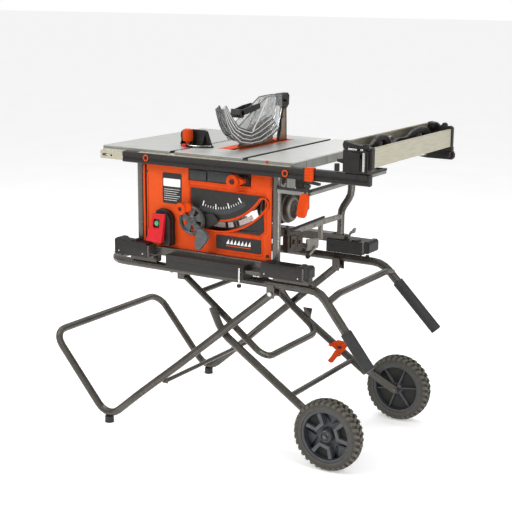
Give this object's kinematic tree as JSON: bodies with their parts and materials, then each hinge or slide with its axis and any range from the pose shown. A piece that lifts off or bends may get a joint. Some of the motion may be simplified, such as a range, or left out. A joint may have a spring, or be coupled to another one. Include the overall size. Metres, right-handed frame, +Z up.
{
  "type": "jobsite table saw on a folding wheeled stand",
  "caption": "Portable table saw with extending fence rails, a tilting blade and a clear guard, on a folding two-wheeled tube stand.",
  "frame": {"origin": "on the floor under the middle of the bounding box", "axes": "+X to the right along the front rail, +Y from the operator to the back of the saw, +Z up"},
  "size_m": [1.2032, 0.64, 1.098],
  "materials": {
    "table": "satin machined",
    "rail": "anodised champagne",
    "orange": "satin orange",
    "tube": "charcoal powder coat",
    "black": "textured",
    "red": "gloss",
    "green": "gloss",
    "grey": "moulded",
    "steel": "ground",
    "motor": "satin grey",
    "clear": "clear smoked",
    "rubber": "matte",
    "tyre": "matte tread"
  },
  "bodies": {
    "saw": {"table_top": "table", "throat_plate": "orange", "cage_tube_front_left": "tube", "cage_tube_front_right": "tube", "cage_tube_rear_left": "tube", "cage_tube_rear_right": "tube", "front_panel": "orange", "switch_housing": "black", "fixed_rail_front": "rail", "fixed_rail_rear": "rail", "front_trunnion": "black", "rear_trunnion": "tube", "side_brace": "tube", "side_arm": "tube", "saddle_front": "black", "saddle_rear": "black", "stand_frame": "tube", "handle_grip_front": "rubber", "handle_grip_rear": "rubber"},
    "feet": {"foot_frame": "tube", "foot_pad_front": "rubber", "foot_pad_rear": "rubber"},
    "wheel_leg": {"wheel_frame": "tube"},
    "prop": {"u_frame": "tube"},
    "front_wheel": {"tyre_front": "tyre", "wheel_rim_front": "grey"},
    "rear_wheel": {"tyre_rear": "tyre", "wheel_rim_rear": "grey"},
    "latch": {"stand_latch": "orange"},
    "rail_slide": {"sliding_rail_front": "black", "sliding_rail_rear": "black", "rail_clamp": "orange"},
    "clamp_lever": {"rail_clamp_lever": "orange"},
    "fence": {"fence_channel": "rail", "fence_head": "black", "fence_end_cap": "black", "push_stick": "black"},
    "fence_lever": {"fence_lock_lever": "black"},
    "mitre_slide": {"mitre_bar": "steel"},
    "mitre_gauge": {"mitre_head": "black"},
    "mitre_handle": {"mitre_knob": "orange"},
    "cradle": {"tilt_cradle": "tube"},
    "carriage": {"lift_carriage": "motor", "motor": "motor", "belt_cover": "black", "blade_shroud": "black", "riving_knife": "motor", "guard_mount": "black"},
    "saw_blade": {"blade": "steel", "arbor": "steel"},
    "guard": {"guard_shield_right": "clear", "guard_shield_left": "clear", "guard_front_bar": "black"},
    "pawls": {"kickback_pawls": "motor"},
    "crank": {"handwheel": "grey"},
    "crank_handle": {"crank_grip": "grey"},
    "bevel_lock": {"bevel_lock_lever": "orange"},
    "rail_lock": {"rail_lock_lever": "orange"},
    "paddle": {"stop_paddle": "red"},
    "button": {"start_button": "green"}
  },
  "joints": [
    {"name": "leg_fold", "type": "hinge", "parent": "saw", "child": "feet", "pos_m": [0.23488, 0.002, 0.519], "axis": [0, 1, 0], "range_deg": [0, 40]},
    {"name": "wheel_frame_fold", "type": "hinge", "parent": "feet", "child": "wheel_leg", "pos_m": [0.04588, 0.002, 0.357], "axis": [0, 1, 0], "range_deg": [0, 98]},
    {"name": "prop_fold", "type": "hinge", "parent": "saw", "child": "prop", "pos_m": [-0.13212, 0.002, 0.519], "axis": [0, -1, 0], "range_deg": [0, 28]},
    {"name": "front_wheel_spin", "type": "hinge", "parent": "wheel_leg", "child": "front_wheel", "pos_m": [0.45888, 0.002, 0.113], "axis": [0, 1, 0], "continuous": true},
    {"name": "rear_wheel_spin", "type": "hinge", "parent": "wheel_leg", "child": "rear_wheel", "pos_m": [0.45888, 0.002, 0.113], "axis": [0, 1, 0], "continuous": true},
    {"name": "stand_latch_swing", "type": "hinge", "parent": "wheel_leg", "child": "latch", "pos_m": [0.23988, 0.2, 0.236], "axis": [0, 1, 0], "range_deg": [0, 20]},
    {"name": "rail_extension", "type": "slide", "parent": "saw", "child": "rail_slide", "axis": [1, 0, 0], "range_m": [-0.09, 0.25]},
    {"name": "rail_clamp_release", "type": "hinge", "parent": "rail_slide", "child": "clamp_lever", "pos_m": [0.39288, -0.304, 0.88], "axis": [-1, 0, 0], "range_deg": [0, 80]},
    {"name": "fence_travel", "type": "slide", "parent": "rail_slide", "child": "fence", "axis": [1, 0, 0], "range_m": [-0.34, 0]},
    {"name": "fence_lock", "type": "hinge", "parent": "fence", "child": "fence_lever", "pos_m": [0.54788, -0.315, 0.985], "axis": [-1, 0, 0], "range_deg": [0, 60]},
    {"name": "mitre_travel", "type": "slide", "parent": "saw", "child": "mitre_slide", "axis": [0, 1, 0], "range_m": [-0.08, 0.25]},
    {"name": "mitre_swivel", "type": "hinge", "parent": "mitre_slide", "child": "mitre_gauge", "pos_m": [-0.09812, -0.153, 0.945], "axis": [0, 0, 1], "range_deg": [-50, 50]},
    {"name": "mitre_knob_turn", "type": "hinge", "parent": "mitre_gauge", "child": "mitre_handle", "pos_m": [-0.12212, -0.16, 0.975], "axis": [0, 0, 1], "continuous": true},
    {"name": "blade_tilt", "type": "hinge", "parent": "saw", "child": "cradle", "pos_m": [0.04388, 0.002, 0.93], "axis": [0, -1, 0], "range_deg": [0, 45]},
    {"name": "blade_lift", "type": "slide", "parent": "cradle", "child": "carriage", "axis": [0, 0, 1], "range_m": [-0.076, 0]},
    {"name": "blade_spin", "type": "hinge", "parent": "carriage", "child": "saw_blade", "pos_m": [0.04388, -0.01, 0.892], "axis": [1, 0, 0], "continuous": true},
    {"name": "guard_lift", "type": "hinge", "parent": "carriage", "child": "guard", "pos_m": [0.04388, 0.154, 1.074], "axis": [-1, 0, 0], "range_deg": [-2, 32]},
    {"name": "pawl_swing", "type": "hinge", "parent": "carriage", "child": "pawls", "pos_m": [0.04388, 0.154, 1.012], "axis": [1, 0, 0], "range_deg": [0, 20]},
    {"name": "lift_crank", "type": "hinge", "parent": "cradle", "child": "crank", "pos_m": [-0.03112, -0.268, 0.727], "axis": [0, 1, 0], "range_deg": [-1080, 0]},
    {"name": "crank_grip_spin", "type": "hinge", "parent": "crank", "child": "crank_handle", "pos_m": [0.00188, -0.283, 0.702], "axis": [0, 1, 0], "continuous": true},
    {"name": "bevel_lock_turn", "type": "hinge", "parent": "cradle", "child": "bevel_lock", "pos_m": [-0.03112, -0.258, 0.727], "axis": [0, 1, 0], "range_deg": [-20, 20]},
    {"name": "rail_lock_turn", "type": "hinge", "parent": "saw", "child": "rail_lock", "pos_m": [0.14188, -0.253, 0.862], "axis": [0, 1, 0], "range_deg": [-30, 30]},
    {"name": "paddle_press", "type": "hinge", "parent": "saw", "child": "paddle", "pos_m": [-0.16312, -0.278, 0.727], "axis": [-1, 0, 0], "range_deg": [0, 12], "stiffness_Nm_per_rad": 0.2},
    {"name": "start_press", "type": "slide", "parent": "saw", "child": "button", "axis": [0, 1, 0], "range_m": [0, 0.004], "stiffness_N_per_m": 200}
  ],
  "couplings": [
    {"joint": "wheel_frame_fold", "follows": "leg_fold", "ratio": 2.45},
    {"joint": "prop_fold", "follows": "leg_fold", "ratio": 0.7},
    {"joint": "lift_crank", "follows": "blade_lift", "rad_per_m": 248},
    {"joint": "guard_lift", "follows": "blade_lift", "rad_per_m": -7.15}
  ]
}
